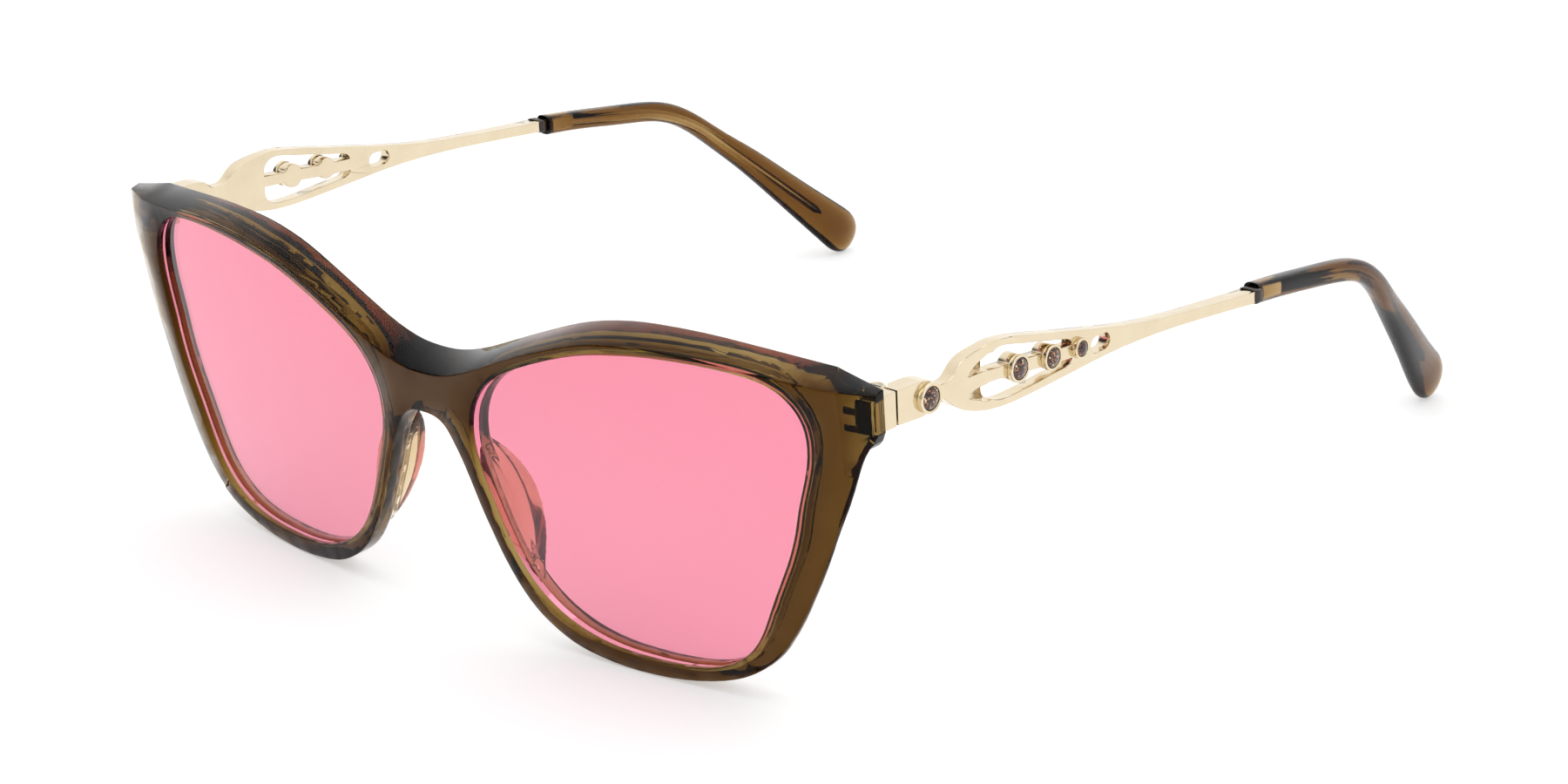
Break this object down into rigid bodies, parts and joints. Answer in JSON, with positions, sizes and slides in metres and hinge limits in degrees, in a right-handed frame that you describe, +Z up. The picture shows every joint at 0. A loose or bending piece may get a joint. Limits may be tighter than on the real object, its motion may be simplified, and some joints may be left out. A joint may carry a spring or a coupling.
{
  "type": "cat eye sunglasses",
  "caption": "Folding cat-eye sunglasses with a translucent acetate front, tinted lenses, glued nose pads, jewelled openwork metal arms on screw hinges and acetate arm tips.",
  "frame": {"origin": "on the floor under the middle of the bounding box, arms open", "axes": "+X to the wearer's left, +Y back along the arms, +Z up"},
  "size_m": [0.1398, 0.1454, 0.0467],
  "materials": {
    "front_acetate": "polished translucent tea-brown acetate",
    "tip_acetate": "polished translucent brown acetate",
    "clear_acetate": "clear polished acetate",
    "lens_tint": "smooth pink-tinted lens plastic",
    "gold_metal": "pale champagne-gold plated casting, polished",
    "gold_cup": "bright gold plating",
    "screw_steel": "bright plated steel",
    "glitter_stone": "domed brown stone with metallic flecks"
  },
  "bodies": {
    "front": {"front_frame": "front_acetate", "lens_left": "lens_tint", "lens_right": "lens_tint", "nose_pad_left": "clear_acetate", "nose_pad_right": "clear_acetate", "hinge_block_left": "gold_metal", "hinge_block_right": "gold_metal", "hinge_screw_left": "screw_steel", "hinge_screw_right": "screw_steel"},
    "left_arm": {"arm_left": "gold_metal", "arm_tip_left": "tip_acetate", "cup_1_left": "gold_cup", "stone_1_left": "glitter_stone", "cup_2_left": "gold_cup", "stone_2_left": "glitter_stone", "cup_3_left": "gold_cup", "stone_3_left": "glitter_stone", "cup_4_left": "gold_cup", "stone_4_left": "glitter_stone"},
    "right_arm": {"arm_right": "gold_metal", "arm_tip_right": "tip_acetate", "cup_1_right": "gold_cup", "stone_1_right": "glitter_stone", "cup_2_right": "gold_cup", "stone_2_right": "glitter_stone", "cup_3_right": "gold_cup", "stone_3_right": "glitter_stone", "cup_4_right": "gold_cup", "stone_4_right": "glitter_stone"}
  },
  "joints": [
    {"name": "left_arm_fold", "type": "hinge", "parent": "front", "child": "left_arm", "pos_m": [0.0652, -0.058, 0.0404], "axis": [0, 0, 1], "range_deg": [0, 87]},
    {"name": "right_arm_fold", "type": "hinge", "parent": "front", "child": "right_arm", "pos_m": [-0.0652, -0.058, 0.0404], "axis": [0, 0, -1], "range_deg": [0, 80]}
  ]
}
